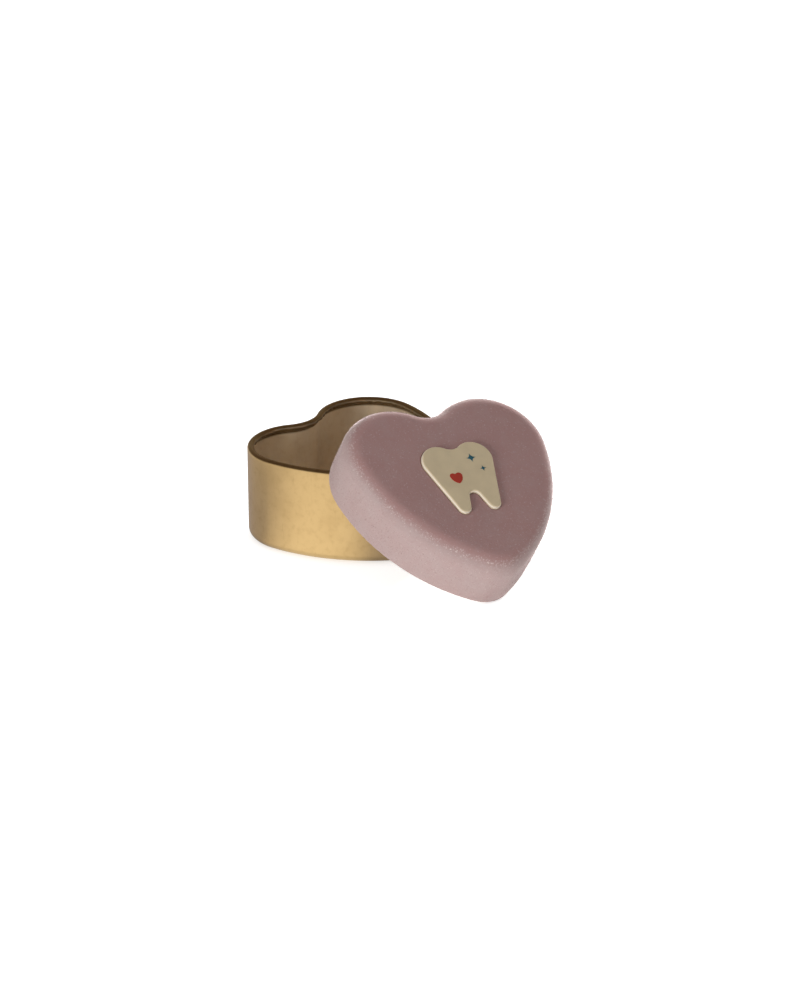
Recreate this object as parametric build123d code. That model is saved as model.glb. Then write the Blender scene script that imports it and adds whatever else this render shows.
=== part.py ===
from build123d import *
from math import acos, atan2, cos, degrees, hypot, radians, sin, sqrt
import os

# Baby tooth box: a heart-shaped slip-lid tin, open, its lid leaning on the rim of the base
# Lengths are in millimetres and angles in degrees
# The origin is on the table under the line of the lobe centres, and the base's cleft faces +Y

# Heart outline, taken at the outside of the base's wall
base_width = 45.0
lobe_radius = 11.7
tip_radius = 6.3
tip_centre_drop = 24.3
cleft_radius = 8.0
side_radius = 38.0

# Tinplate and the base pan
tin_thickness = 0.3
base_height = 21.3
foot_corner_radius = 2.0
curl_radius = 0.75
curl_turn = 285.0

# Lid: tinplate cap with a folded hem, under a skin of flock
slip_clearance = 0.5
hem_height = 2.2
flock_thickness = 0.4
flock_above_edge = 0.45
flock_edge_radius = 0.15
lid_depth = 13.3
shoulder_radius = 4.0

# Tooth badge, glued to the tin in an opening of the flock
badge_proud = 0.7
badge_edge_radius = 0.45
badge_gap = 0.12
cusp_radius = 4.2
cusp_centre_side = 4.1
crown_notch_radius = 3.0
root_radius = 1.5
root_centre_side = 3.6
root_fork_radius = 1.3
root_fork_depth = 5.0
badge_height = 17.7
badge_top_forward = 0.1
badge_sideways = -0.2
glue_thickness = 0.12
glue_inset = 1.0

# Printed motifs on the badge
ink_thickness = 0.05
print_heart_width = 2.9
print_heart_place = (-2.3, -8.3)
sparkle_reach = 1.15
sparkle_waist = 0.5
sparkle_places = ((3.1, -4.3), (4.7, -7.4))
sparkle_size_shares = (1.0, 0.62)

# How the lid lies: its tip stands on the table and its skirt lies over the rim
lid_forward = 28.2
lid_sideways = 0.55
lid_turn = -20.8
lid_roll = 3.9
lean_gap = 0.1
steepest_lean = 60.0
lean_step = 4.0
lean_halvings = 16

# One overrun serves every cut
overrun = 1.0


def polar(centre, radius, angle):
    """Point at a radius and an angle from a centre."""
    x, y = centre
    return (x + radius * cos(radians(angle)), y + radius * sin(radians(angle)))


def heading(start, end):
    """Angle of the direction from one point to another."""
    return degrees(atan2(end[1] - start[1], end[0] - start[0]))


def mirrored(arc):
    """The same arc on the other side of the centre line, still run anticlockwise overall."""
    (x, y), radius, start, end, side = arc
    return ((-x, y), radius, 180 - end, 180 - start, side)


def heart_arcs(scale=1.0):
    """Arcs of the heart, anticlockwise: centre, radius, start, end, and +1 convex or -1 hollow.

    Neighbours are tangent, so moving every radius by one amount gives an exact offset.
    """
    lobe, tip, cleft, side = (scale * r for r in (lobe_radius, tip_radius, cleft_radius, side_radius))
    lobe_x = scale * base_width / 2 - lobe
    tip_y = -scale * tip_centre_drop
    lobe_centre, tip_centre = (lobe_x, 0), (0, tip_y)
    cleft_centre = (0, sqrt((lobe + cleft) ** 2 - lobe_x**2))
    # The side arc holds the lobe's and the tip's circles inside it, each touching it
    to_lobe, to_tip, apart = side - lobe, side - tip, hypot(lobe_x, tip_y)
    along = (to_lobe**2 - to_tip**2 + apart**2) / (2 * apart)
    out = sqrt(to_lobe**2 - along**2)
    ux, uy = -lobe_x / apart, tip_y / apart
    side_centre = (lobe_x + along * ux + out * uy, along * uy - out * ux)
    side_start, side_end = heading(side_centre, tip_centre), heading(side_centre, lobe_centre)
    right_side = (side_centre, side, side_start, side_end, 1)
    right_lobe = (lobe_centre, lobe, side_end, heading(lobe_centre, cleft_centre), 1)
    hollow_start = heading(cleft_centre, lobe_centre)
    hollow = (cleft_centre, cleft, hollow_start, -180 - hollow_start, -1)
    point = (tip_centre, tip, -180 - side_start, side_start, 1)
    return [point, right_side, right_lobe, hollow, mirrored(right_lobe), mirrored(right_side)]


def tooth_arcs():
    """Arcs of a plain two-rooted molar, crown up, with its highest points on y = 0."""
    cusp, root = (cusp_centre_side, -cusp_radius), (root_centre_side, root_radius - badge_height)
    notch_rise = sqrt((cusp_radius + crown_notch_radius) ** 2 - cusp_centre_side**2)
    notch = (0, notch_rise - cusp_radius)
    fork = (0, root_fork_depth - root_fork_radius - badge_height)
    # Straight flanks touch the cusp's and the root's circles outside, the root's and the fork's inside
    apart = hypot(root[0] - cusp[0], root[1] - cusp[1])
    flank = heading(cusp, root) + degrees(acos((cusp_radius - root_radius) / apart))
    apart = hypot(root[0] - fork[0], root[1] - fork[1])
    inner_flank = heading(fork, root) - degrees(acos(-(root_radius + root_fork_radius) / apart))
    right_root = (root, root_radius, inner_flank, flank, 1)
    right_cusp = (cusp, cusp_radius, flank, heading(cusp, notch), 1)
    notch_start = heading(notch, cusp)
    crown_notch = (notch, crown_notch_radius, notch_start, -180 - notch_start, -1)
    root_fork = (fork, root_fork_radius, -inner_flank, inner_flank + 180, -1)
    return [right_root, right_cusp, crown_notch, mirrored(right_cusp), mirrored(right_root), root_fork]


def outline(arcs, offset=0.0, z=0.0):
    """Closed wire of arcs, joined by straight lines where they don't meet, moved out by an offset."""
    runs = []
    for centre, radius, start, end, side in arcs:
        r = radius + side * offset
        runs.append((polar(centre, r, start), polar(centre, r, (start + end) / 2), polar(centre, r, end)))
    edges = []
    for (first, middle, last), (following, _, _) in zip(runs, runs[1:] + runs[:1]):
        edges.append(ThreePointArc(first, middle, last))
        if hypot(following[0] - last[0], following[1] - last[1]) > tin_thickness / 100:
            edges.append(Line(last, following))
    return Pos(0, 0, z) * Wire(edges)


def prism(arcs, offset, bottom, top):
    """Upright solid between two heights, inside an outline moved out by an offset."""
    return extrude(Face(outline(arcs, offset, bottom)), top - bottom, dir=(0, 0, 1))


def rounded_prism(arcs, offset, bottom, top, radius, at_top):
    """Upright solid with its top or its bottom edge rounded."""
    body = prism(arcs, offset, bottom, top)
    edges = body.faces().sort_by(Axis.Z)[-1 if at_top else 0].edges()
    return fillet(edges, radius)


def heart_ring(section):
    """Solid swept round the heart by a section drawn as x = offset from the outline, y = height."""
    ring = None
    for (x, y), radius, start, end, side in heart_arcs():
        out = Vector(cos(radians(start)), sin(radians(start)), 0)
        foot = Vector(x, y, 0) + out * radius
        plane = Plane(origin=foot, x_dir=out * side, z_dir=(out * side).cross(Vector(0, 0, 1)))
        turn = Axis((x, y, 0), (0, 0, 1 if end > start else -1))
        piece = revolve(plane * section, axis=turn, revolution_arc=abs(end - start))
        ring = piece if ring is None else ring + piece
    return ring


def round_tube_section(centre_offset, centre_height, radius, wall, turn):
    """Rolled strip of tin: an open ring that starts at the outside and turns over inward."""
    ring = Circle(radius) - Circle(radius - wall)
    reach = 2 * radius
    middle = turn / 2 + 180
    gap = 360 - turn
    rays = [polar((0, 0), reach, middle + share * gap) for share in (-0.5, 0, 0.5)]
    wedge = Face(Wire(Polyline((0, 0), *rays, (0, 0)).edges()))
    return Pos(centre_offset, centre_height) * (ring - wedge)


# Base pan: drawn from one sheet, with a rounded foot and its rim rolled inward
def make_base_pan():
    heart = heart_arcs()
    wall_top = base_height - curl_radius
    outer = rounded_prism(heart, 0, 0, wall_top, foot_corner_radius, at_top=False)
    inner_radius = foot_corner_radius - tin_thickness
    inner = rounded_prism(
        heart, -tin_thickness, tin_thickness, wall_top + overrun, inner_radius, at_top=False)
    curl = heart_ring(
        round_tube_section(-curl_radius, wall_top, curl_radius, tin_thickness, curl_turn))
    return outer - inner + curl


# Offsets of the lid's layers from the heart outline, and its heights, in the lid's own frame
hem_inside = slip_clearance
skirt_inside = hem_inside + tin_thickness
skirt_outside = skirt_inside + tin_thickness
flock_outside = skirt_outside + flock_thickness
shell_top = lid_depth - flock_thickness
badge_seat = shell_top + glue_thickness
badge_top = lid_depth + badge_proud


def make_lid_shell():
    """Tin cap with a broad rounded shoulder and its edge folded flat against the inside."""
    heart = heart_arcs()
    outer_radius = shoulder_radius - flock_thickness
    outer = rounded_prism(heart, skirt_outside, tin_thickness, shell_top, outer_radius, at_top=True)
    inner = prism(heart, skirt_inside, tin_thickness - overrun, shell_top - tin_thickness)
    inner_top = inner.faces().sort_by(Axis.Z)[-1].edges()
    inner = fillet(inner_top, outer_radius - tin_thickness)
    fold_height = hem_height - tin_thickness
    fold = Pos(skirt_inside - tin_thickness / 2, tin_thickness + fold_height / 2) * Rectangle(
        tin_thickness, fold_height)
    bead = Pos(skirt_inside, tin_thickness) * Circle(tin_thickness)
    return outer - inner + heart_ring(fold + bead)


def make_lid_flock():
    """Skin of flock over the skirt, the shoulder and the top, open under the badge."""
    heart = heart_arcs()
    outer = rounded_prism(heart, flock_outside, flock_above_edge, lid_depth, shoulder_radius, at_top=True)
    hem_edge = outer.faces().sort_by(Axis.Z)[0].edges()
    outer = fillet(hem_edge, flock_edge_radius)
    under = rounded_prism(
        heart, skirt_outside, tin_thickness, shell_top, shoulder_radius - flock_thickness, at_top=True)
    opening = badge_place * prism(tooth_arcs(), badge_gap, shell_top - overrun, lid_depth + overrun)
    return outer - under - opening


# Badge and its layers, built at the lid's height with the crown's highest points on y = 0
badge_place = Pos(badge_sideways, badge_top_forward, 0)


def make_badge_glue():
    return badge_place * prism(tooth_arcs(), -glue_inset, shell_top, badge_seat)


def make_tooth_badge():
    return badge_place * rounded_prism(
        tooth_arcs(), 0, badge_seat, badge_top, badge_edge_radius, at_top=True)


def make_print_heart():
    scale = print_heart_width / base_width
    shape = prism(heart_arcs(scale), 0, badge_top, badge_top + ink_thickness)
    return badge_place * Pos(*print_heart_place, 0) * shape


def sparkle(reach):
    """Four-pointed star with hollow sides."""
    waist = sparkle_waist * reach / sparkle_reach
    edges = []
    for quarter in range(4):
        start, middle, end = quarter * 90, quarter * 90 + 45, quarter * 90 + 90
        edges.append(ThreePointArc(
            polar((0, 0), reach, start), polar((0, 0), waist, middle), polar((0, 0), reach, end)))
    return extrude(Face(Wire(edges)), ink_thickness)


def make_print_sparkles():
    stars = []
    for place, share in zip(sparkle_places, sparkle_size_shares):
        stars.append(badge_place * Pos(*place, badge_top) * sparkle(sparkle_reach * share))
    return Compound(children=stars)


# The lean: the tilt is the one that leaves the named gap between the hem and the rim
hem_line = outline(heart_arcs(), skirt_inside, tin_thickness)
rim_line = outline(heart_arcs(), -curl_radius, base_height - curl_radius)


def lean(tilt):
    """Place of the lid at a tilt, with the lowest point of its hem on the table."""
    turned = Rot(0, 0, lid_turn) * Rot(tilt, 0, 0) * Rot(0, lid_roll, 0)
    lowest = (turned * hem_line).bounding_box().min.Z - tin_thickness
    return Pos(lid_sideways, -lid_forward, -lowest) * turned


def gap_at(tilt):
    return (lean(tilt) * hem_line).distance_to(rim_line) - tin_thickness - curl_radius


# Starting steep and clear, the lid comes down in steps, then in halved steps, to the gap
lid_tilt, step = steepest_lean, lean_step
for _ in range(lean_halvings):
    while lid_tilt > step and gap_at(lid_tilt - step) > lean_gap:
        lid_tilt -= step
    step /= 2
lid_place = lean(lid_tilt)

on_the_table = {"base_pan": make_base_pan()}
on_the_lid = {
    "lid_shell": make_lid_shell(),
    "lid_flock": make_lid_flock(),
    "badge_glue": make_badge_glue(),
    "tooth_badge": make_tooth_badge(),
    "badge_print_heart": make_print_heart(),
    "badge_print_sparkles": make_print_sparkles(),
}

os.makedirs("parts", exist_ok=True)
for name, shape in on_the_table.items():
    export_step(shape, f"parts/{name}.step")
for name, shape in on_the_lid.items():
    export_step(lid_place * shape, f"parts/{name}.step")
print(f"lid tilt {lid_tilt:.3f}, place {lid_place.position}, gap {gap_at(lid_tilt):.4f}")
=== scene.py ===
"""Baby tooth box: the looks of a heart-shaped tin whose flocked lid leans on its rim."""

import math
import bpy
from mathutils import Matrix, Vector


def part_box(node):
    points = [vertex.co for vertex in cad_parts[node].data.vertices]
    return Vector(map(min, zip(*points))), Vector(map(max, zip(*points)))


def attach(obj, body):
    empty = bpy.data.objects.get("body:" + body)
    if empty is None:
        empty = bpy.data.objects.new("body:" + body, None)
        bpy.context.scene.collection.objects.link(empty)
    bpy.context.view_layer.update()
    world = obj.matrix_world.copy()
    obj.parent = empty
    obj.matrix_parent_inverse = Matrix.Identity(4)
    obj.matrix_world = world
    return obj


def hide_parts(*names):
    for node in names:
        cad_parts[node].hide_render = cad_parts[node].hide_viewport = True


bl_info = {
    "name": "Baby Tooth Box",
    "version": (1, 0, 0),
    "blender": (4, 5, 0),
    "location": "View3D > Sidebar > Tooth Box",
    "description": "Builds a heart-shaped keepsake tin with a flocked lid and a tooth badge",
    "category": "Add Mesh",
}

import bmesh
import bpy
import numpy as np
from bpy.props import FloatProperty, FloatVectorProperty, IntProperty, PointerProperty
from mathutils import Matrix, Vector, geometry, noise

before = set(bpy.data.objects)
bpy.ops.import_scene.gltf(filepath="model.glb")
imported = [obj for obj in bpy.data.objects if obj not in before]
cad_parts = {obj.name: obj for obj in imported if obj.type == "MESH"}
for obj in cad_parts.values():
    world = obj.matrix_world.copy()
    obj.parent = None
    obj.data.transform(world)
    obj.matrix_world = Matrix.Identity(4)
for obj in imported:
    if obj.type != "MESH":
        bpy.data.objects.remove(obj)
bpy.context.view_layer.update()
BASE_LOW, BASE_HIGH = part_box("base_pan")

MM = 0.001
MICRON = 0.001 * MM


# Sizes and colours that a user would change

def length(name, description, default):
    """Property for a length in metres."""
    return FloatProperty(
        name=name, description=description, default=default, unit="LENGTH", precision=5)


def angle(name, description, degrees):
    """Property for an angle, given here in degrees."""
    return FloatProperty(
        name=name, description=description, default=math.radians(degrees), subtype="ANGLE")


def colour(name, description, default):
    """Property for a linear colour."""
    return FloatVectorProperty(
        name=name, description=description, default=default, subtype="COLOR", min=0, max=1)


def level(name, description, default):
    """Property for a brightness, of which 1 shows as white."""
    return FloatProperty(name=name, description=description, default=default, min=0)


def bearing(name, description, default):
    """Property for a direction from the origin."""
    return FloatVectorProperty(
        name=name, description=description, default=default, subtype="DIRECTION")


class HeartSizes(bpy.types.PropertyGroup):
    """The heart outline at the outside of the base's wall, in tangent arcs"""

    width: length("Width", "Width over the base's wall", BASE_HIGH.x - BASE_LOW.x)
    lobe_radius: length("Lobe radius", "Radius of each lobe", 11.7 * MM)
    tip_radius: length("Tip radius", "Radius of the rounded point", 6.3 * MM)
    tip_drop: length("Tip drop", "From the lobes' centres to the point's centre", 24.3 * MM)
    cleft_radius: length("Cleft radius", "Radius of the hollow between the lobes", 8 * MM)
    side_radius: length("Side radius", "Radius of the long sides", 38 * MM)
    spacing: length("Spacing", "Distance between mesh points", 0.32 * MM)


class BaseSizes(bpy.types.PropertyGroup):
    """The drawn base pan and its rolled rim"""

    height: length("Height", "Height of the base", BASE_HIGH.z - BASE_LOW.z)
    sheet: length("Sheet", "Thickness of the tinplate", 0.3 * MM)
    foot_radius: length("Foot radius", "Radius of the foot corner", 2 * MM)
    curl_radius: length("Curl radius", "Radius of the rolled rim", 0.75 * MM)
    curl_turn: angle("Curl turn", "How far the rim is rolled", 285)
    curl_waver: angle("Curl waver", "Unevenness of the curl's cut edge", 26)
    curl_dent: length("Curl dent", "Unevenness of the curl's inner side", 0.26 * MM)
    wall_waver: length("Wall waver", "Unevenness of the drawn wall", 0.02 * MM)
    gold: colour("Gold", "Gold lacquer outside", (0.76, 0.52, 0.235))
    gold_inside: colour("Gold inside", "Thinner lacquer inside", (0.95, 0.82, 0.63))
    tarnish: colour("Tarnish", "Lacquer where it is thick or handled", (0.52, 0.33, 0.13))


class LidSizes(bpy.types.PropertyGroup):
    """The tin lid and its skin of flock, and how the lid lies"""

    clearance: length("Clearance", "Gap between the base's wall and the hem", 0.5 * MM)
    hem_height: length("Hem height", "Height of the edge's fold", 2.2 * MM)
    hem_waver: length("Hem waver", "Unevenness of the fold's cut edge", 0.12 * MM)
    flock: length("Flock", "Thickness of the flock", 0.4 * MM)
    flock_edge: length("Flock edge", "Bare tin below the flock", 0.45 * MM)
    brim: length("Brim", "Radius of the flock's lower edge", 0.15 * MM)
    window_edge: length("Window edge", "Rounding of the flock's edge round the badge", 0.08 * MM)
    depth: length("Depth", "Depth of the lid over its flock", 13.3 * MM)
    shoulder: length("Shoulder", "Radius of the shoulder over the flock", 4 * MM)
    tilt: angle("Tilt", "Lean towards the tip", 31.275)
    roll: angle("Roll", "Lean to the side", 3.9)
    turn: angle("Turn", "Turn about the vertical", -20.8)
    forward: length("Forward", "From the base's lobes to the lid's, towards the tip", 28.2 * MM)
    sideways: length("Sideways", "From the base's middle to the lid's", 0.55 * MM)
    grain: length("Grain", "Unevenness of the flock's surface", 0.03 * MM)
    fibres: IntProperty(name="Fibres", description="Number of stray fibres", default=10000, min=0)
    fibre_length: length("Fibre length", "Longest stray fibre", 0.42 * MM)
    fibre_width: length("Fibre width", "Width of a stray fibre at its root", 0.045 * MM)
    rose: colour("Rose", "Flock seen straight on", (0.42, 0.245, 0.232))
    # Paler flock, painted on the shoulder and skirt as sheen
    rose_painted_sheen: colour("Pale rose", "Flock where its fibres lie over", (0.45, 0.35, 0.335))
    # Colour of the glints painted on fibre tips
    rose_glints: colour("Tips", "Fibre tips that stand out pale", (0.95, 0.88, 0.85))
    bloom: colour("Bloom", "Tint of the flock's sheen", (1.0, 0.86, 0.84))


class BadgeSizes(bpy.types.PropertyGroup):
    """The raised tooth badge, a plain two-rooted molar"""

    proud: length("Proud", "Height of the badge over the flock", 0.7 * MM)
    glue: length("Glue", "Thickness of the glue under the badge", 0.12 * MM)
    edge_radius: length("Edge radius", "Radius of the badge's edge", 0.45 * MM)
    gap: length("Gap", "Gap between the badge and the flock", 0.12 * MM)
    cusp_radius: length("Cusp radius", "Radius of each cusp", 4.2 * MM)
    cusp_side: length("Cusp side", "From the middle to a cusp's centre", 4.1 * MM)
    notch_radius: length("Notch radius", "Radius of the notch in the crown", 3 * MM)
    root_radius: length("Root radius", "Radius of each root's tip", 1.5 * MM)
    root_side: length("Root side", "From the middle to a root's centre", 3.6 * MM)
    fork_radius: length("Fork radius", "Radius of the fork between the roots", 1.3 * MM)
    fork_depth: length("Fork depth", "From the roots' tips up to the fork", 5 * MM)
    height: length("Height", "From the cusps to the roots' tips", 17.7 * MM)
    forward: length("Forward", "From the lobes' centres up to the cusps", 0.1 * MM)
    sideways: length("Sideways", "From the lid's middle to the badge's", -0.2 * MM)
    cream: colour("Cream", "Enamel", (0.72, 0.585, 0.38))
    amber: colour("Amber", "Glue", (0.5, 0.4, 0.22))
    red: colour("Red", "Ink of the heart", (0.5, 0.045, 0.025))
    teal: colour("Teal", "Ink of the sparkles", (0.03, 0.13, 0.17))


class StageSizes(bpy.types.PropertyGroup):
    """Camera, room, lamps and floor"""

    azimuth: angle("Azimuth", "Turn of the camera round the object", -47.379)
    elevation: angle("Elevation", "Height of the camera over the table", 24.031)
    distance: length("Distance", "From the camera to the plane of the origin", 738.89 * MM)
    aside: length("Aside", "Shift of the camera to the right", 14.321 * MM)
    raised: length("Raised", "Shift of the camera upwards", 3.895 * MM)
    lens: FloatProperty(name="Lens", description="Focal length in millimetres", default=119.319)
    floor_size: length("Floor", "Side of the floor", 8.0)
    ambient: level("Ambient", "Plain light of the room", 0.35)
    ceiling: colour("Ceiling", "Dark room, as gloss sees it", (0.07, 0.052, 0.045))
    behind: colour("Behind", "Wall behind the object, as gloss sees it", (0.15, 0.135, 0.125))
    window: level("Window", "Bright wall on the left, as gloss sees it", 1.05)
    window_turn: angle("Window turn", "Direction of the bright wall, from +X", 193)
    window_top: angle("Window top", "Height over the horizon where the bright wall ends", 14)
    window_inner: angle("Window inside", "Turn from its middle to the end of its full light", 10)
    window_outer: angle("Window outside", "Turn from its middle to where its light ends", 44)
    lamp_distance: length("Lamp distance", "From the origin to the key and edge lamps", 1.0)
    key: level("Key", "Low soft lamp on the left", 0.56)
    key_from: bearing("Key from", "Where the key lamp stands", (-0.985, -0.12, 0.16))
    key_size: length("Key size", "Side of the key lamp", 0.3)
    edge: level("Edge", "Low lamp behind on the right", 1.7)
    edge_from: bearing("Edge from", "Where the edge lamp stands", (0.91, 0.33, 0.25))
    edge_size: length("Edge size", "Side of the edge lamp", 0.5)
    bounce: level("Bounce", "Lit table in front of the object", 0.52)
    bounce_from: bearing("Bounce from", "Where the lit table lies", (-0.66, -0.74, 0.001))
    bounce_distance: length("Bounce distance", "From the origin to the lit table", 0.24)
    bounce_size: length("Bounce size", "Side of the lit table", 0.4)
    bounce_turn: angle("Bounce turn", "Turn of the lit table's sides", 45)
    floor_glow: level("Floor glow", "What lifts the floor to white for the camera", 0.8)
    near_glow: colour("Near glow", "Floor on the dark side, as gloss sees it", (0.43, 0.43, 0.5))
    pool_glow: level("Pool glow", "Floor on the window's side, as gloss sees it", 1.09)
    far_glow: level("Far glow", "Floor far from the object, as gloss sees it", 0.72)
    sill_glow: level("Sill glow", "Far floor below the window, as gloss sees it", 0.85)
    floor_shade: level("Floor shade", "Floor's darkening at the object, for the camera", 0.3)
    foot_shade: level("Foot shade", "Floor's darkening at the object, as gloss sees it", 0.22)
    pool_along: length("Pool along", "Place on Y from which the bright side spreads", -8 * MM)
    pool_inner: angle("Pool inside", "Turn from its middle to the end of its full light", 4)
    pool_outer: angle("Pool outside", "Turn from its middle to where its light ends", 42)
    far_inner: length("Far inside", "Distance where the far floor begins", 45 * MM)
    far_outer: length("Far outside", "Distance where the far floor is reached", 110 * MM)
    shade_reach: length("Shade reach", "How far the floor darkens round the object", 4 * MM)


# Outlines

LEAST_STEPS = 3   # in an arc of an outline


def polar(centre, radius, degrees):
    """Point at a radius and an angle from a centre."""
    a = math.radians(degrees)
    return np.array(centre) + radius * np.array((math.cos(a), math.sin(a)))


def heading(start, end):
    """Angle in degrees of the direction from one point to another."""
    return math.degrees(math.atan2(end[1] - start[1], end[0] - start[0]))


def mirrored(arc):
    """The same arc on the other side of the middle, still run anticlockwise overall."""
    (x, y), radius, start, end, side = arc
    return ((-x, y), radius, 180 - end, 180 - start, side)


def heart_arcs(heart):
    """Arcs of the heart: centre, radius, start, end, and +1 where convex or -1 where hollow."""
    lobe, tip = heart.lobe_radius, heart.tip_radius
    cleft, side = heart.cleft_radius, heart.side_radius
    lobe_x, tip_y = heart.width / 2 - lobe, -heart.tip_drop
    lobe_centre, tip_centre = (lobe_x, 0), (0, tip_y)
    cleft_centre = (0, math.sqrt((lobe + cleft) ** 2 - lobe_x**2))
    to_lobe, to_tip, apart = side - lobe, side - tip, math.hypot(lobe_x, tip_y)
    along = (to_lobe**2 - to_tip**2 + apart**2) / (2 * apart)
    out = math.sqrt(to_lobe**2 - along**2)
    ux, uy = -lobe_x / apart, tip_y / apart
    side_centre = (lobe_x + along * ux + out * uy, along * uy - out * ux)
    side_start, side_end = heading(side_centre, tip_centre), heading(side_centre, lobe_centre)
    hollow_start = heading(cleft_centre, lobe_centre)
    point = (tip_centre, tip, -180 - side_start, side_start, 1)
    right_side = (side_centre, side, side_start, side_end, 1)
    right_lobe = (lobe_centre, lobe, side_end, heading(lobe_centre, cleft_centre), 1)
    hollow = (cleft_centre, cleft, hollow_start, -180 - hollow_start, -1)
    return [point, right_side, right_lobe, hollow, mirrored(right_lobe), mirrored(right_side)]


def tooth_arcs(badge):
    """Arcs of the tooth, crown up and its highest points on y = 0, in the same form."""
    cusp = (badge.cusp_side, -badge.cusp_radius)
    root = (badge.root_side, badge.root_radius - badge.height)
    rise = math.sqrt((badge.cusp_radius + badge.notch_radius) ** 2 - badge.cusp_side**2)
    notch = (0, rise - badge.cusp_radius)
    fork = (0, badge.fork_depth - badge.fork_radius - badge.height)
    flank = heading(cusp, root) + math.degrees(
        math.acos((badge.cusp_radius - badge.root_radius) / math.dist(cusp, root)))
    inner = heading(fork, root) - math.degrees(
        math.acos(-(badge.root_radius + badge.fork_radius) / math.dist(fork, root)))
    right_root = (root, badge.root_radius, inner, flank, 1)
    right_cusp = (cusp, badge.cusp_radius, flank, heading(cusp, notch), 1)
    start = heading(notch, cusp)
    crown_notch = (notch, badge.notch_radius, start, -180 - start, -1)
    root_fork = (fork, badge.fork_radius, -inner, inner + 180, -1)
    left_cusp, left_root = mirrored(right_cusp), mirrored(right_root)
    return [right_root, right_cusp, crown_notch, left_cusp, left_root, root_fork]


class Outline:
    """Evenly spaced points of a closed outline, with their outward normals.

    Turn runs once from 0 to a whole circle round the outline, and size is the radius of a
    circle as long as the outline, so noise read on that circle closes on itself.
    """

    def __init__(self, arcs, spacing):
        points, normals = [], []
        for arc, following in zip(arcs, arcs[1:] + arcs[:1]):
            centre, radius, start, end, side = arc
            count = max(LEAST_STEPS, round(radius * abs(math.radians(end - start)) / spacing))
            for step in range(count):
                at = start + (end - start) * step / count
                points.append(polar(centre, radius, at))
                normals.append(side * polar((0, 0), 1, at))
            last = polar(centre, radius, end)
            first = polar(*following[:3])
            count = round(math.dist(last, first) / spacing)
            for step in range(count):
                points.append(last + (first - last) * step / count)
                normals.append(side * polar((0, 0), 1, end))
        self.points, self.normals = np.array(points), np.array(normals)
        steps = np.linalg.norm(np.roll(self.points, -1, axis=0) - self.points, axis=1)
        self.turn = 2 * math.pi * np.concatenate(([0], np.cumsum(steps)[:-1])) / steps.sum()
        self.size = steps.sum() / (2 * math.pi)

    def moved(self, offset):
        """Loop of the outline moved out by an offset."""
        return self.points + self.normals * offset

    def waver(self, wavelength, seed):
        """Smooth unevenness between -1 and 1 at each point."""
        ring = self.size / wavelength
        places = [Vector((ring * math.cos(t), ring * math.sin(t), seed)) for t in self.turn]
        return np.array([noise.noise(place) for place in places])


def holds(loop, points):
    """Which points lie inside a closed loop."""
    x, y = points[:, :1], points[:, 1:]
    x0, y0 = loop[:, 0], loop[:, 1]
    x1, y1 = np.roll(x0, -1), np.roll(y0, -1)
    with np.errstate(divide="ignore", invalid="ignore"):
        crossing = x0 + (y - y0) / (y1 - y0) * (x1 - x0)
    return np.sum(((y0 > y) != (y1 > y)) & (x < crossing), axis=1) % 2 == 1


def clear_of(loop, points, gap):
    """Which points lie further than a gap from every point of a loop."""
    return np.array([np.min(np.hypot(loop[:, 0] - x, loop[:, 1] - y)) > gap for x, y in points])


def bend(offset, height, radius, start, end, steps):
    """Arc of a profile as (offset, height) pairs, from one angle in degrees to another.

    The radius is one number, or one for each step.
    """
    turns = np.radians(np.linspace(start, end, steps))
    radii = np.broadcast_to(radius, steps)
    return [(offset + r * math.cos(t), height + r * math.sin(t)) for r, t in zip(radii, turns)]


def run(start, end, steps):
    """Straight part of a profile, without its ends."""
    return [tuple(p) for p in np.linspace(start, end, steps + 1)[1:-1]]


def ramp(value, start, span):
    """How far a value has come along a span that begins at start, from 0 to 1."""
    return np.clip((value - start) / span, 0.0, 1.0)


# Meshes

CUT_EDGE = math.radians(50)   # edges bent more than this stay sharp
TOLERANCE = 0.6 * MM          # the most that a piece may leave its node's box
WELD = 2 * MICRON             # points nearer than this become one
CAP_GAP_SHARE = 0.6           # share of a cap's spacing that stays free along its edges
INSIDE_EDGES = 1              # asks the triangulation for the triangles inside the edges

# Marks of points, which tell a material how each one lies. On the base's tin they run from
# OUTSIDE to UNDER_CURL as the curl turns in, where the curl's shade is painted dark, and
# BELOW_CURL is the inner wall just below the curl, whose shade is painted dark too. LID_TIN is
# the lid's tin from the shoulder down and inside, whose lacquer is a little thin. On flock they
# run from FLOCK_TOP to FLOCK_SKIRT over the shoulder, where a paler sheen is painted, and on
# enamel they rise above ENAMEL_SIDE on the rounded edge, where a highlight is painted paler.
OUTSIDE, INSIDE, BELOW_CURL, UNDER_CURL, LID_TIN = 0.0, 1.0, 2.0, -1.0, 0.4
FLOCK_TOP, FLOCK_SKIRT = 0.0, 1.0
ENAMEL_FLAT, ENAMEL_SIDE = 0.0, 0.2


def add_object(name, data):
    """New object in the scene."""
    thing = bpy.data.objects.new(name, data)
    bpy.context.scene.collection.objects.link(thing)
    return thing


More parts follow.
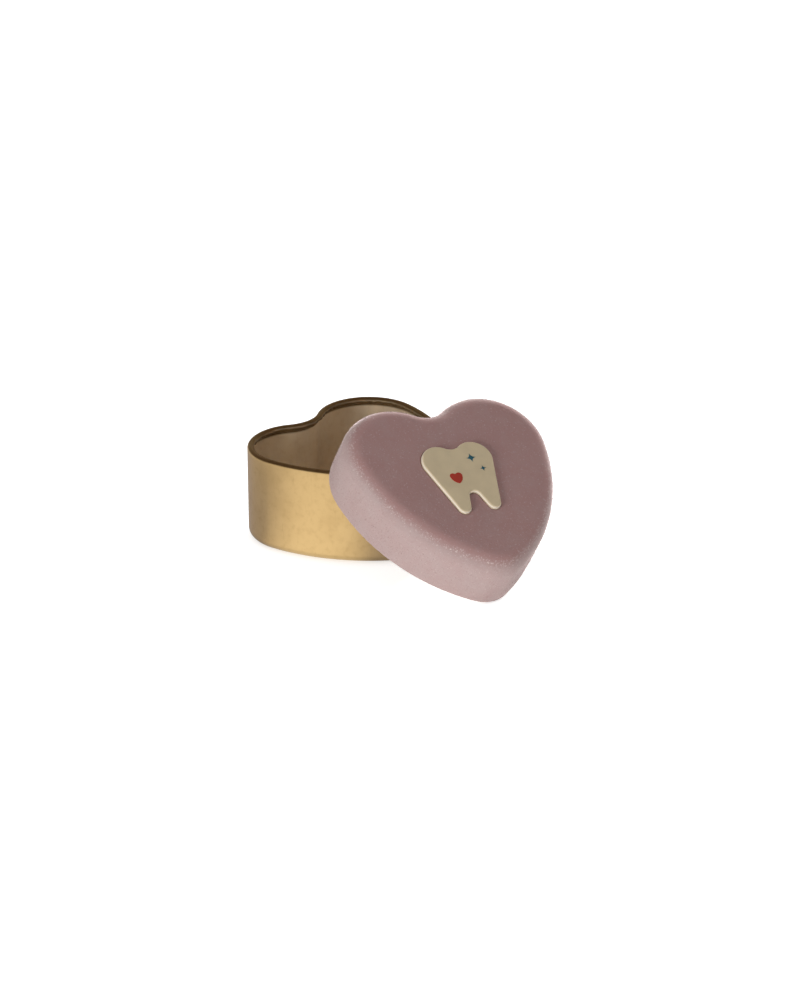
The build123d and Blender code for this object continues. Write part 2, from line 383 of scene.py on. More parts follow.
class Skin:
    """Points and faces of one piece, gathered from sweeps and caps and then welded."""

    def __init__(self):
        self.points, self.faces, self.marks = [], [], []

    def add(self, points, faces, marks):
        """Adds points with their marks, and faces that count from the first of them."""
        start = len(self.points)
        self.points.extend(map(tuple, points))
        self.faces.extend(tuple(start + i for i in face) for face in faces)
        self.marks.extend(marks)

    def sweep(self, outline, profile, marks):
        """Carries a profile of (offset, height) round an outline.

        The profile is one list of pairs, or one such list for each point of the outline.
        """
        profile = np.asarray(profile, float)
        stations, count = len(outline.points), profile.shape[-2]
        if profile.ndim == 2:
            profile = np.broadcast_to(profile, (stations, count, 2))
        flat = outline.points[:, None] + outline.normals[:, None] * profile[..., :1]
        points = np.concatenate([flat, profile[..., 1:]], axis=2).reshape(-1, 3)
        faces = [
            (i * count + k, j * count + k, j * count + k + 1, i * count + k + 1)
            for i, j in ((i, (i + 1) % stations) for i in range(stations))
            for k in range(count - 1)
        ]
        self.add(points, faces, np.broadcast_to(marks, (stations, count)).ravel())

    def cap(self, loop, height, spacing, mark, hole=None):
        """Fills a flat loop, less a hole, with even triangles."""
        low, high = loop.min(axis=0), loop.max(axis=0)
        rows = np.arange(low[1], high[1], spacing * math.sqrt(3) / 2)
        grid = np.array([
            (x + spacing / 2 * (row % 2), y)
            for row, y in enumerate(rows) for x in np.arange(low[0], high[0], spacing)])
        grid = grid[holds(loop, grid)]
        loops = [loop] if hole is None else [loop, hole]
        for ring in loops:
            grid = grid[clear_of(ring, grid, spacing * CAP_GAP_SHARE)]
        edges, start = [], 0
        for ring in loops:
            edges += [(start + i, start + (i + 1) % len(ring)) for i in range(len(ring))]
            start += len(ring)
        corners = [Vector(p) for p in np.concatenate(loops + [grid])]
        found = geometry.delaunay_2d_cdt(corners, edges, [], INSIDE_EDGES, MICRON)
        flat = np.array([tuple(p) for p in found[0]])
        faces = np.array([tuple(face) for face in found[2]])
        middles = flat[faces].mean(axis=1)
        inside = holds(loop, middles)
        if hole is not None:
            inside &= ~holds(hole, middles)
        points = np.column_stack([flat, np.full(len(flat), height)])
        self.add(points, faces[inside], np.full(len(flat), mark))

    def piece(self, name, place=None, shape=None):
        """Welded, smooth-shaded object of the skin, with its points shaped and then placed."""
        mesh = bpy.data.meshes.new(name)
        mesh.from_pydata(self.points, [], self.faces)
        marks = mesh.attributes.new("mark", "FLOAT", "POINT")
        marks.data.foreach_set("value", np.asarray(self.marks, np.float32))
        work = bmesh.new()
        work.from_mesh(mesh)
        bmesh.ops.remove_doubles(work, verts=work.verts, dist=WELD)
        bmesh.ops.recalc_face_normals(work, faces=work.faces)
        if any(not edge.is_manifold for edge in work.edges):
            raise RuntimeError(f"{name} is not a closed mesh")
        if shape is not None:
            work.normal_update()
            moves = [shape(vert) for vert in work.verts]
            for vert, move in zip(work.verts, moves):
                vert.co += move
        if place is not None:
            work.transform(place)
        for face in work.faces:
            face.smooth = True
        for edge in work.edges:
            edge.smooth = edge.calc_face_angle() < CUT_EDGE
        work.to_mesh(mesh)
        work.free()
        return add_object(name, mesh)


def add_piece(piece, body, slot, material, *nodes):
    """Gives a piece its material and body, checks it against its nodes' boxes and hides the nodes.

    The slot is not used.
    """
    piece.data.materials.append(material)
    for node in nodes:
        low, high = (np.array(corner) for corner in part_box(node))
        points = np.array([vert.co for vert in piece.data.vertices])
        out = max(np.max(low - points.min(axis=0)), np.max(points.max(axis=0) - high))
        if out > TOLERANCE:
            raise RuntimeError(f"{piece.name} leaves the box of {node} by {out:.5f} m")
    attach(piece, body)
    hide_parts(*nodes)


def sizes():
    """The sizes of heart, base, lid and badge."""
    scene = bpy.context.scene
    return scene.tooth_box_heart, scene.tooth_box_base, scene.tooth_box_lid, scene.tooth_box_badge


def lid_place():
    """Place of the lid's own frame, with the lowest point of its hem on the table."""
    heart, base, lid, _ = sizes()
    turned = (
        Matrix.Rotation(lid.turn, 4, "Z")
        @ Matrix.Rotation(lid.tilt, 4, "X")
        @ Matrix.Rotation(lid.roll, 4, "Y")
    )
    hem = Outline(heart_arcs(heart), heart.spacing).moved(lid.clearance + base.sheet)
    lowest = min((turned @ Vector((x, y, base.sheet))).z for x, y in hem) - base.sheet
    return Matrix.Translation((lid.sideways, -lid.forward, -lowest)) @ turned


def grainy(depth, wavelength, seed):
    """Shape for Skin.piece that moves each point along its normal by noise."""
    step = Vector((seed, seed, seed))

    def move(vert):
        return vert.normal * depth * noise.noise(vert.co / wavelength + step)

    return move


# Materials

class Value:
    """A number socket of a node tree. Arithmetic on it adds Math nodes."""

    def __init__(self, shade, socket):
        self.shade, self.socket = shade, socket

    def math(self, operation, *others):
        """Math node of this value and others."""
        settings = {"operation": operation}
        return self.shade.add("ShaderNodeMath", settings, dict(enumerate((self, *others))))

    def __add__(self, other):
        return self.math("ADD", other)

    def __mul__(self, other):
        return self.math("MULTIPLY", other)

    def __rsub__(self, other):
        return (self * -1) + other

    __radd__ = __add__

    def spread(self, low, high, share=1.0):
        """Smooth step from 0 at low to a share at high."""
        return self.shade.add(
            "ShaderNodeMapRange", {"interpolation_type": "SMOOTHSTEP"},
            {"Value": self, "From Min": low, "From Max": high, "To Max": share})


class Shade:
    """Node tree of a material or the world."""

    def __init__(self, owner):
        owner.use_nodes = True
        self.owner, self.tree = owner, owner.node_tree
        self.tree.nodes.clear()

    def add(self, kind, settings=None, inputs=None, output=0):
        """Adds a node: its settings first, then values or links of its sockets."""
        node = self.tree.nodes.new(kind)
        for name, value in (settings or {}).items():
            setattr(node, name, value)
        for name, value in (inputs or {}).items():
            if isinstance(value, Value):
                self.tree.links.new(value.socket, node.inputs[name])
            else:
                node.inputs[name].default_value = value
        return Value(self, node.outputs[output]) if node.outputs else node

    def place(self):
        """Place in the piece's own mesh, in metres."""
        return self.add("ShaderNodeTexCoord", output="Object")

    def mark(self):
        """Mark that the Skin gave the point."""
        return self.add("ShaderNodeAttribute", {"attribute_name": "mark"}, output="Fac")

    def ray(self, kind):
        """1 for a ray of that kind, else 0."""
        return self.add("ShaderNodeLightPath", output=f"Is {kind} Ray")

    def vector(self, operation, *vectors, output="Vector"):
        """Vector Math node of vectors."""
        inputs = dict(enumerate(vectors))
        return self.add("ShaderNodeVectorMath", {"operation": operation}, inputs, output)

    def along(self, vector, direction):
        """Part of a vector along a direction."""
        return self.vector("DOT_PRODUCT", vector, direction, output="Value")

    def noise(self, place, wavelength, detail, stretch=(1, 1, 1), turned=(0, 0, 0)):
        """Noise of about that wavelength in metres, stretched along some axes."""
        if stretch != (1, 1, 1):
            scale = tuple(1 / s for s in stretch)
            place = self.add(
                "ShaderNodeMapping", inputs={"Vector": place, "Rotation": turned, "Scale": scale})
        return self.add(
            "ShaderNodeTexNoise",
            inputs={"Vector": place, "Scale": 1 / wavelength, "Detail": detail})

    def mix(self, share, first, second):
        """Colour between two colours, by the node's sockets for colours."""
        first, second = (c if isinstance(c, Value) else (*c, 1) for c in (first, second))
        return self.add(
            "ShaderNodeMix", {"data_type": "RGBA"}, {0: share, 6: first, 7: second}, output=2)

    def bump(self, height, depth, strength=1.0):
        """Normal of a surface raised by a height between 0 and 1 times a depth in metres."""
        return self.add(
            "ShaderNodeBump",
            inputs={"Height": height, "Distance": depth, "Strength": strength})

    def surface(self, **inputs):
        """Principled surface as the output. Underscores in names stand for spaces."""
        named = {
            name.replace("_", " ").title().replace("Ior", "IOR"): value
            for name, value in inputs.items()}
        shader = self.add("ShaderNodeBsdfPrincipled", inputs=named)
        self.add("ShaderNodeOutputMaterial", inputs={"Surface": shader})
        return self.owner


def tin(name, gold, gold_inside, tarnish):
    """Gold-lacquered tinplate: satin and faintly mottled, with hairline scratches."""
    m = Shade(bpy.data.materials.new(name))
    place = m.place()
    mark = m.mark()
    inside = (mark * mark).spread(OUTSIDE, 0.5)
    # Painted shade: the curl's underside and the two rows of inner wall below it are painted dark
    below = mark.spread(INSIDE, BELOW_CURL)
    painted_shade = (mark * -1).spread(OUTSIDE, -UNDER_CURL) + below
    cloud = m.noise(place, 7 * MM, detail=3)
    mottle = m.noise(place, 1.2 * MM, detail=3)
    hairline = m.noise(place, 0.14 * MM, detail=1, stretch=(1, 1, 26), turned=(0.5, 0.3, 0.2))
    crossing = m.noise(place, 0.16 * MM, detail=1, stretch=(22, 1, 1), turned=(0.2, -0.6, 0.7))
    scratch = hairline.spread(0.66, 0.78) + crossing.spread(0.68, 0.8)
    patches = cloud.spread(0.35, 0.75, share=0.3) + mottle.spread(0.45, 0.8, share=0.22)
    worn = patches + scratch * 0.3
    outside = m.mix(worn, gold, tarnish)
    dull = m.mix(worn * 0.6, gold_inside, tarnish)
    # Colour of the shade painted under the curl
    dark = tuple(0.3 * c for c in tarnish)
    height = mottle * 0.6 + scratch * -0.5
    return m.surface(
        base_color=m.mix(painted_shade, m.mix(inside, outside, dull), dark),
        metallic=1 - inside * 0.42,
        roughness=0.26 + mottle * 0.1 + cloud * 0.06 + inside * 0.02 + scratch * 0.06,
        normal=m.bump(height, depth=0.004 * MM),
    )


def flock(name, lid, tip_share=0.12, pale_from=0.95):
    """Short flock: matt, with a pale bloom at grazing angles, a paler sheen painted on its skirt
    and pale specks painted as glints of fibre tips.

    The glints come in cells a few fibres wide: tip_share is how pale, and pale_from how rare.
    """
    m = Shade(bpy.data.materials.new(name))
    place = m.place()
    nap = m.noise(place, 5 * MM, detail=4)
    tuft = m.noise(place, 0.45 * MM, detail=3)
    grain = m.noise(place, 0.16 * MM, detail=2)
    cell_width = 0.22 * MM
    cell = m.add(
        "ShaderNodeTexVoronoi", inputs={"Vector": place, "Scale": 1 / cell_width}, output="Color")
    pick = m.add("ShaderNodeSeparateColor", inputs={"Color": cell})
    skirt = m.mark()
    shoulder = skirt * (1 - skirt) * 4
    # Painted glints: pale specks, rare everywhere and more on the shoulder
    tips = pick.spread(pale_from, 1, share=tip_share) + shoulder * pick.spread(0.7, 1, share=0.25)
    # Random nap and tufts, and a paler sheen painted on the shoulder and skirt
    nap_and_painted_sheen = nap.spread(0.35, 0.7, share=0.15) + tuft.spread(0.4, 0.75, share=0.15) + skirt * 0.7
    return m.surface(
        base_color=m.mix(tips, m.mix(nap_and_painted_sheen, lid.rose, lid.rose_painted_sheen), lid.rose_glints),
        roughness=0.96,
        specular_ior_level=0.15,
        sheen_weight=1.0,
        sheen_roughness=0.3,
        sheen_tint=(*lid.bloom, 1),
        normal=m.bump(grain * 0.6 + tuft * 0.9, depth=0.1 * MM, strength=0.6),
    )


def enamel(name, ground, roughness=0.3):
    """Smooth enamel, ink or glue, faintly uneven in colour and gloss, with a highlight painted
    where marked.
    """
    m = Shade(bpy.data.materials.new(name))
    place = m.place()
    cloud = m.noise(place, 4 * MM, detail=3)
    peel = m.noise(place, 0.7 * MM, detail=2)
    speck = m.noise(place, 0.12 * MM, detail=1)
    patches = cloud.spread(0.3, 0.75, share=0.6) + speck.spread(0.6, 0.8, share=0.35)
    darker = tuple(0.86 * c for c in ground)
    # Colour of the highlight painted on the badge's rounded edge
    paler = tuple(c**0.3 for c in ground)
    return m.surface(
        base_color=m.mix(m.mark() * 0.85, m.mix(patches, ground, darker), paler),
        roughness=roughness + peel * 0.12,
        normal=m.bump(peel, depth=0.012 * MM),
    )


def dress(node, material):
    """Gives a CAD node that stays in view its material."""
    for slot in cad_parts[node].material_slots:
        slot.material = material


# Pieces

DENTS_FROM, DENTS_SPAN = 120, 90   # degrees of the curl's turn over which its dents grow
PAINTED_SHADE_FROM, PAINTED_SHADE_SPAN = 125, 70     # degrees of the curl's turn over which its shade is painted dark


class TOOTHBOX_OT_base(bpy.types.Operator):
    """Build the heart-shaped base pan with its rolled rim"""

    bl_idname = "tooth_box.base"
    bl_label = "Base"

    def execute(self, context):
        heart, base, _, _ = sizes()
        outline = Outline(heart_arcs(heart), heart.spacing)
        foot, sheet, roll = base.foot_radius, base.sheet, base.curl_radius
        wall_top = base.height - roll
        rows = round(wall_top / (2 * heart.spacing))
        turn = math.degrees(base.curl_turn)
        inner_steps, outer_steps = 34, 40
        lags = math.degrees(base.curl_waver) * (
            outline.waver(1.6 * MM, seed=3) + 0.6 * outline.waver(6 * MM, seed=5))
        dents = base.curl_dent * (
            outline.waver(1.1 * MM, seed=8) + 0.7 * outline.waver(3.5 * MM, seed=11))
        bulges = base.wall_waver * outline.waver(11 * MM, seed=14)

        def curl(radius, dent, start, end, steps):
            """Arc of the curl, which is dented where it turns inwards."""
            inward = ramp(np.linspace(start, end, steps), DENTS_FROM, DENTS_SPAN)
            return bend(-roll, wall_top, radius + dent * inward, start, end, steps)

        profiles = []
        for lag, dent, bulge in zip(lags, dents, bulges):
            wall = bend(-foot, foot, foot - sheet, -90, 0, steps=8)
            wall += run((-sheet, foot), (-sheet, wall_top), rows)
            rim = curl(roll - sheet, dent, 0, turn + lag, inner_steps)
            rim += curl(roll, dent, turn + lag, 0, outer_steps)
            outside = run((0, wall_top), (0, foot), rows)
            outside += bend(-foot, foot, foot, 0, -90, steps=10)
            profile = np.array(wall + rim + outside)
            # The wall bulges most halfway up and not at its ends
            rise = ramp(profile[:, 1], foot, wall_top - foot)
            profile[:, 0] += bulge * np.sin(np.pi * rise)
            profiles.append(profile)
        # Shade is painted dark where the curl turns under, and on the two rows of inner wall below
        # it
        shaded = [BELOW_CURL] * 2
        darker = UNDER_CURL * ramp(np.linspace(turn, 0, outer_steps), PAINTED_SHADE_FROM, PAINTED_SHADE_SPAN)
        marks = [INSIDE] * (len(wall) - len(shaded)) + shaded + [UNDER_CURL] * inner_steps
        marks += [*darker] + [OUTSIDE] * len(outside)
        skin = Skin()
        skin.sweep(outline, profiles, marks)
        floor = outline.moved(-foot)
        skin.cap(floor, sheet, 2 * heart.spacing, INSIDE)
        skin.cap(floor, 0.0, 2 * heart.spacing, OUTSIDE)
        gold = tin("gold_tin", base.gold, base.gold_inside, base.tarnish)
        add_piece(skin.piece("base_tin"), "base", "gold_tin", gold, "base_pan")
        return {"FINISHED"}


class TOOTHBOX_OT_lid(bpy.types.Operator):
    """Build the lid's tin cap with its folded hem"""

    bl_idname = "tooth_box.lid"
    bl_label = "Lid"

    def execute(self, context):
        heart, base, lid, _ = sizes()
        outline = Outline(heart_arcs(heart), heart.spacing)
        sheet = base.sheet
        hem, inside = lid.clearance, lid.clearance + sheet   # inner faces of fold and wall
        outside = inside + sheet
        top = lid.depth - lid.flock
        radius = lid.shoulder - lid.flock
        centre, spring = outside - radius, top - radius
        rows = round(spring / (2 * heart.spacing))
        lip, burr = sheet / 3, sheet / 6   # rounding of the fold's two upper edges
        shoulder = bend(centre, spring, radius, 90, 0, steps=14)
        profiles = []
        for lift in lid.hem_waver * outline.waver(5 * MM, seed=21):
            fold = lid.hem_height + lift
            below = run((outside, spring), (outside, sheet), rows)
            below += bend(inside, sheet, sheet, 0, -180, steps=12)
            below += run((hem, sheet), (hem, fold - lip), steps=4)
            below += bend(hem + lip, fold - lip, lip, 180, 90, steps=4)
            below += [(inside - burr, fold), (inside, fold - burr)]
            below += run((inside, fold - burr), (inside, spring), rows)
            below += bend(centre, spring, radius - sheet, 0, 90, steps=12)
            profiles.append(shoulder + below)
        skin = Skin()
        skin.sweep(outline, profiles, [OUTSIDE] * len(shoulder) + [LID_TIN] * len(below))
        skin.cap(outline.moved(centre), top, 2 * heart.spacing, OUTSIDE)
        skin.cap(outline.moved(centre), top - sheet, 2 * heart.spacing, LID_TIN)
        gold = tin("gold_tin_lid", base.gold, base.gold_inside, base.tarnish)
        add_piece(skin.piece("lid_tin", lid_place()), "lid", "gold_tin", gold, "lid_shell")
        return {"FINISHED"}


# Shares of the shoulder: where the painted paler sheen begins, and how long it takes to grow
PAINTED_SHEEN_FROM_SHARE, PAINTED_SHEEN_SPAN_SHARE = 0.31, 0.3
FIBRE_SEED = 7
FIBRE_LEAN = 0.55               # spread of the stray fibres' directions
FIBRE_CLEARANCE = 20 * MICRON   # between the table and the lowest fibre's tip
SHORTEST_SHARE = 0.35           # shortest stray fibre as a share of the longest
# Chance of a stray fibre, for the same area: everywhere, and added on the skirt and shoulder
ALL_CHANCE, SKIRT_CHANCE, SHOULDER_CHANCE = 0.12, 0.35, 0.8


class TOOTHBOX_OT_flock(bpy.types.Operator):
    """Build the lid's skin of flock and its stray fibres"""

    bl_idname = "tooth_box.flock"
    bl_label = "Flock"

    def execute(self, context):
        heart, base, lid, badge = sizes()
        outline = Outline(heart_arcs(heart), heart.spacing)
        tooth = Outline(tooth_arcs(badge), heart.spacing)
        tooth.points += (badge.sideways, badge.forward)
        under = lid.clearance + 2 * base.sheet
        outside = under + lid.flock
        centre, spring = outside - lid.shoulder, lid.depth - lid.shoulder
        rows = round(spring / heart.spacing)
        brim, low = lid.brim, lid.flock_edge
        shoulder = bend(centre, spring, lid.shoulder, 90, 0, steps=20)
        below = run((outside, spring), (outside, low + brim), rows)
        below += bend(outside - brim, low + brim, brim, 0, -90, steps=5)
        below += [(under, low)] + run((under, low), (under, spring), round(rows / 3))
        below += bend(centre, spring, lid.shoulder - lid.flock, 0, 90, steps=10)
        # A paler sheen is painted on the flock from about a third of the shoulder down
        down = np.arange(len(shoulder)) / (len(shoulder) - 1)
        marks = [*ramp(down, PAINTED_SHEEN_FROM_SHARE, PAINTED_SHEEN_SPAN_SHARE)] + [FLOCK_SKIRT] * len(below)
        skin = Skin()
        skin.sweep(outline, shoulder + below, marks)
        gap, rim = badge.gap, lid.window_edge
        top, bottom = lid.depth, lid.depth - lid.flock
        opening = [(gap + rim, top), (gap + rim / 3, top - rim / 3)]
        opening += [(gap, top - rim), (gap, bottom)]
        skin.sweep(tooth, opening, FLOCK_TOP)
        edge = outline.moved(centre)
        skin.cap(edge, top, heart.spacing, FLOCK_TOP, hole=tooth.moved(gap + rim))
        skin.cap(edge, bottom, 3 * heart.spacing, FLOCK_TOP, hole=tooth.moved(gap))
        place = lid_place()
        nap = grainy(lid.grain, wavelength=0.5 * MM, seed=31)
        piece = skin.piece("lid_flock_skin", place, nap)
        add_piece(piece, "lid", "rose_flock", flock("rose_flock", lid), "lid_flock")
        fibres = self.stray_fibres(piece, lid, place)
        # Most of the stray fibres are painted pale, as glints and rim light
        pale = flock("rose_fibres", lid, tip_share=0.6, pale_from=0.4)
        add_piece(fibres, "lid", "rose_flock", pale)
        return {"FINISHED"}

    def stray_fibres(self, piece, lid, place):
        """Thin three-sided fibres that stand on the skin's outer side."""
        draw = np.random.default_rng(FIBRE_SEED)
        mesh = piece.data
        mesh.calc_loop_triangles()
        triangles = mesh.loop_triangles
        corners = np.array([[mesh.vertices[i].co for i in t.vertices] for t in triangles])
        normals = np.array([t.normal for t in triangles])
        areas = np.array([t.area for t in triangles])
        # Fibres stand only where the skin faces out of the lid
        middle = np.array(place @ Vector((0, -lid.shoulder, lid.depth / 3)))
        facing = np.einsum("ij,ij->i", normals, corners.mean(axis=1) - middle) > 0
        marks = mesh.attributes["mark"].data
        mark = np.array([[marks[i].value for i in t.vertices] for t in triangles]).mean(axis=1)
        on_shoulder = 4 * mark * (1 - mark)
        chances = areas * facing * (
            ALL_CHANCE + SKIRT_CHANCE * mark + SHOULDER_CHANCE * on_shoulder)
        chosen = draw.choice(len(triangles), size=lid.fibres, p=chances / chances.sum())
        points, faces = [], []
        for t in chosen:
            a, b = sorted(draw.random(2))
            root = corners[t][0] * a + corners[t][1] * (b - a) + corners[t][2] * (1 - b)
            lean = normals[t] + draw.normal(0, FIBRE_LEAN, 3)
            lean /= np.linalg.norm(lean)
            tip = root + lean * lid.fibre_length * draw.uniform(SHORTEST_SHARE, 1.0)
            if tip[2] < FIBRE_CLEARANCE:
                continue
            side = np.cross(lean, draw.normal(0, 1, 3))
            side *= lid.fibre_width / 2 / np.linalg.norm(side)
            other = np.cross(lean, side)
            sunk = root - lean * lid.grain
            start = len(points)
            for corner in range(3):
                round_root = 2 * math.pi * corner / 3
                points.append(sunk + side * math.cos(round_root) + other * math.sin(round_root))
            points.append(tip)
            for face in ((0, 1, 3), (1, 2, 3), (2, 0, 3), (2, 1, 0)):
                faces.append(tuple(start + i for i in face))
        mesh = bpy.data.meshes.new("lid_flock_fibres")
        mesh.from_pydata(points, [], faces)
        return add_object("lid_flock_fibres", mesh)


BADGE_SPACING_SHARE = 0.7   # the badge's points stand closer than the heart's
# Marks over the badge's rounded edge, where a highlight is painted paler, from side to top
PAINTED_EDGE_HIGHLIGHT = (0.6, 1.0, 0.9, 0.6, 0.3, 0.1, 0.0, 0.0, 0.0, 0.0)


class TOOTHBOX_OT_badge(bpy.types.Operator):
    """Build the tooth badge and finish its glue and its printed motifs"""

    bl_idname = "tooth_box.badge"
    bl_label = "Badge"

    def execute(self, context):
        heart, _, lid, badge = sizes()
        tooth = Outline(tooth_arcs(badge), heart.spacing * BADGE_SPACING_SHARE)
        tooth.points += (badge.sideways, badge.forward)
        seat = lid.depth - lid.flock + badge.glue
        top = lid.depth + badge.proud
        r = badge.edge_radius
        side = [(0, seat)] + run((0, seat), (0, top - r), steps=3)
        edge = bend(-r, top - r, r, 0, 90, len(PAINTED_EDGE_HIGHLIGHT))
        skin = Skin()
        skin.sweep(tooth, side + edge, [ENAMEL_SIDE] * len(side) + [*PAINTED_EDGE_HIGHLIGHT])
        skin.cap(tooth.moved(-r), top, heart.spacing, ENAMEL_FLAT)
        skin.cap(tooth.moved(0), seat, 2 * heart.spacing, ENAMEL_FLAT)
        piece = skin.piece("badge_enamel", lid_place())
        add_piece(piece, "lid", "cream_enamel", enamel("cream_enamel", badge.cream), "tooth_badge")
        dress("badge_print_heart", enamel("red_ink", badge.red, roughness=0.4))
        dress("badge_print_sparkles", enamel("teal_ink", badge.teal, roughness=0.4))
        dress("badge_glue", enamel("glue", badge.amber, roughness=0.35))
        return {"FINISHED"}


# Stage

BLACK, WHITE = (0, 0, 0), (1, 1, 1)
FLOOR_PAINT = (0.8, 0.8, 0.8, 1)


def grey(brightness):
    """Colour of a plain brightness."""
    return (brightness,) * 3


def horizontal(turn):
    """Horizontal direction at an angle from +X."""
    return (math.cos(turn), math.sin(turn), 0)


def facing(brightness, distance):
    """Power of a lamp that gives a white surface facing it that brightness."""
    return brightness * (math.pi * distance) ** 2


def shining(brightness, size):
    """Power of a square lamp that is itself that bright."""
    return brightness * math.pi * size**2


def lamp(name, towards, distance, size, power):
    """Square lamp that stands towards a direction, faces the origin and casts no glint."""
    light = bpy.data.lights.new(name, "AREA")
    light.size, light.energy = size, power
    holder = add_object(name, light)
    towards = Vector(towards).normalized()
    holder.location = towards * distance
    holder.rotation_euler = towards.to_track_quat("Z", "Y").to_euler()
    holder.visible_glossy = False
    return holder


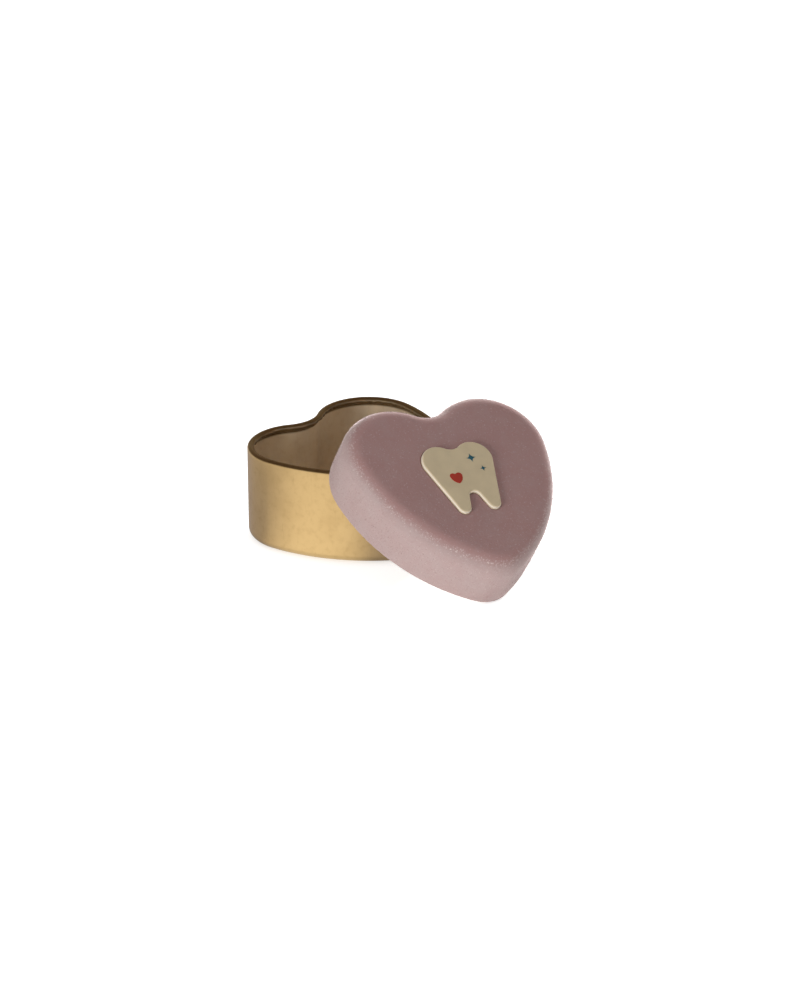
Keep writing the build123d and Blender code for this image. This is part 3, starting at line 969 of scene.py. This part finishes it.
class TOOTHBOX_OT_stage(bpy.types.Operator):
    """Set up the floor, the lamps, the room's light and the camera"""

    bl_idname = "tooth_box.stage"
    bl_label = "Stage"

    def execute(self, context):
        stage = context.scene.tooth_box_stage
        self.floor(stage)
        self.room(stage)
        self.lamps(stage)
        self.camera(stage)
        context.scene.view_settings.view_transform = "Standard"
        return {"FINISHED"}

    def lamps(self, stage):
        """Two low lamps and a lit part of the table, which faces up."""
        far = stage.lamp_distance
        lamp("key", stage.key_from, far, stage.key_size, facing(stage.key, far))
        lamp("edge", stage.edge_from, far, stage.edge_size, facing(stage.edge, far))
        bounce = lamp(
            "bounce", stage.bounce_from, stage.bounce_distance, stage.bounce_size,
            shining(stage.bounce, stage.bounce_size))
        bounce.rotation_euler = (math.pi, 0, stage.bounce_turn)

    def floor(self, stage):
        """Pale floor: white for the camera but for a faint shade, and uneven as gloss sees it."""
        bpy.ops.mesh.primitive_plane_add(size=stage.floor_size)
        floor = bpy.context.object
        floor.name = "floor"
        m = Shade(bpy.data.materials.new("pale_floor"))
        camera, glossy, through = m.ray("Camera"), m.ray("Glossy"), m.ray("Transmission")
        openness = m.add(
            "ShaderNodeAmbientOcclusion", {"samples": 8}, {"Distance": stage.shade_reach},
            output="AO")
        lit = openness.spread(0.0, 0.9, share=stage.floor_shade) + (1 - stage.floor_shade)
        paint = m.add("ShaderNodeBsdfDiffuse", inputs={"Color": FLOOR_PAINT})
        glow = m.mix((camera + through) * lit, BLACK, WHITE)
        shown = m.add("ShaderNodeEmission", inputs={"Color": glow, "Strength": stage.floor_glow})
        table = m.add("ShaderNodeAddShader", inputs={0: paint, 1: shown})
        mirrored_table = m.add(
            "ShaderNodeEmission", inputs={"Color": self.mirrored_floor(stage, m, openness)})
        both = m.add("ShaderNodeMixShader", inputs={0: glossy, 1: table, 2: mirrored_table})
        m.add("ShaderNodeOutputMaterial", inputs={"Surface": both})
        floor.data.materials.append(m.owner)

    def mirrored_floor(self, stage, m, openness):
        """Colour of the floor as gloss sees it: brighter below the window, darker at the foot."""
        place = m.place()
        away = m.vector("NORMALIZE", m.vector("SUBTRACT", place, (0, stage.pool_along, 0)))
        pool = m.along(away, horizontal(stage.window_turn)).spread(
            math.cos(stage.pool_outer), math.cos(stage.pool_inner))
        out = m.vector("LENGTH", place, output="Value")
        near = m.mix(pool, stage.near_glow, grey(stage.pool_glow))
        far = m.mix(pool * pool, grey(stage.far_glow), grey(stage.sill_glow))
        gloss = m.mix(out.spread(stage.far_inner, stage.far_outer), near, far)
        beside = 1 - openness.spread(0.6, 0.85)
        return m.mix(beside * stage.foot_shade, gloss, BLACK)

    def room(self, stage):
        """Plain light for matt surfaces. Gloss sees a dark room with one bright wall."""
        world = bpy.data.worlds.new("room")
        bpy.context.scene.world = world
        m = Shade(world)
        direction = m.add("ShaderNodeTexCoord", output="Generated")
        height = m.add("ShaderNodeSeparateXYZ", inputs={"Vector": direction}, output="Z")
        low = 1 - height.spread(0.0, math.sin(stage.window_top))
        bright = low * m.along(direction, horizontal(stage.window_turn)).spread(
            math.cos(stage.window_outer), math.cos(stage.window_inner))
        ahead = m.along(direction, horizontal(stage.azimuth + math.pi / 2))
        dark = m.mix(ahead.spread(0.4, 1.0), stage.ceiling, stage.behind)
        seen = m.mix(bright, dark, grey(stage.window))
        light = m.mix(m.ray("Glossy"), grey(stage.ambient), seen)
        tone = m.mix(m.ray("Camera"), light, WHITE)
        back = m.add("ShaderNodeBackground", inputs={"Color": tone})
        m.add("ShaderNodeOutputWorld", inputs={"Surface": back})

    def camera(self, stage):
        """Camera that looks along its azimuth and elevation, shifted aside and upwards."""
        turn, rise = stage.azimuth, stage.elevation
        back = Vector((
            math.sin(turn) * math.cos(rise), -math.cos(turn) * math.cos(rise), math.sin(rise)))
        right = Vector((math.cos(turn), math.sin(turn), 0))
        up = back.cross(right)
        camera = add_object("camera", bpy.data.cameras.new("camera"))
        camera.location = back * stage.distance + right * stage.aside + up * stage.raised
        camera.rotation_euler = back.to_track_quat("Z", "Y").to_euler()
        camera.data.lens = stage.lens
        camera.data.clip_end = 2 * stage.floor_size
        bpy.context.scene.camera = camera


GROUPS = {
    "tooth_box_heart": HeartSizes,
    "tooth_box_base": BaseSizes,
    "tooth_box_lid": LidSizes,
    "tooth_box_badge": BadgeSizes,
    "tooth_box_stage": StageSizes,
}
OPERATORS = (
    TOOTHBOX_OT_base,
    TOOTHBOX_OT_lid,
    TOOTHBOX_OT_flock,
    TOOTHBOX_OT_badge,
    TOOTHBOX_OT_stage,
)


class TOOTHBOX_PT_panel(bpy.types.Panel):
    """Sizes, colours and build steps of the tooth box"""

    bl_idname = "TOOTHBOX_PT_panel"
    bl_label = "Tooth Box"
    bl_space_type = "VIEW_3D"
    bl_region_type = "UI"
    bl_category = "Tooth Box"

    def draw(self, context):
        for name in GROUPS:
            box = self.layout.box()
            box.label(text=name.removeprefix("tooth_box_").title())
            group = getattr(context.scene, name)
            for prop in group.bl_rna.properties:
                if prop.identifier not in {"rna_type", "name"}:
                    box.prop(group, prop.identifier)
        for operator in OPERATORS:
            self.layout.operator(operator.bl_idname)


def register():
    for name, group in GROUPS.items():
        bpy.utils.register_class(group)
        setattr(bpy.types.Scene, name, PointerProperty(type=group))
    for cls in (*OPERATORS, TOOTHBOX_PT_panel):
        bpy.utils.register_class(cls)


def unregister():
    for cls in (TOOTHBOX_PT_panel, *reversed(OPERATORS)):
        bpy.utils.unregister_class(cls)
    for name, group in reversed(GROUPS.items()):
        delattr(bpy.types.Scene, name)
        bpy.utils.unregister_class(group)


def main():
    register()
    bpy.ops.tooth_box.base()
    bpy.ops.tooth_box.lid()
    bpy.ops.tooth_box.flock()
    bpy.ops.tooth_box.badge()
    bpy.ops.tooth_box.stage()


if __name__ == "__main__":
    main()
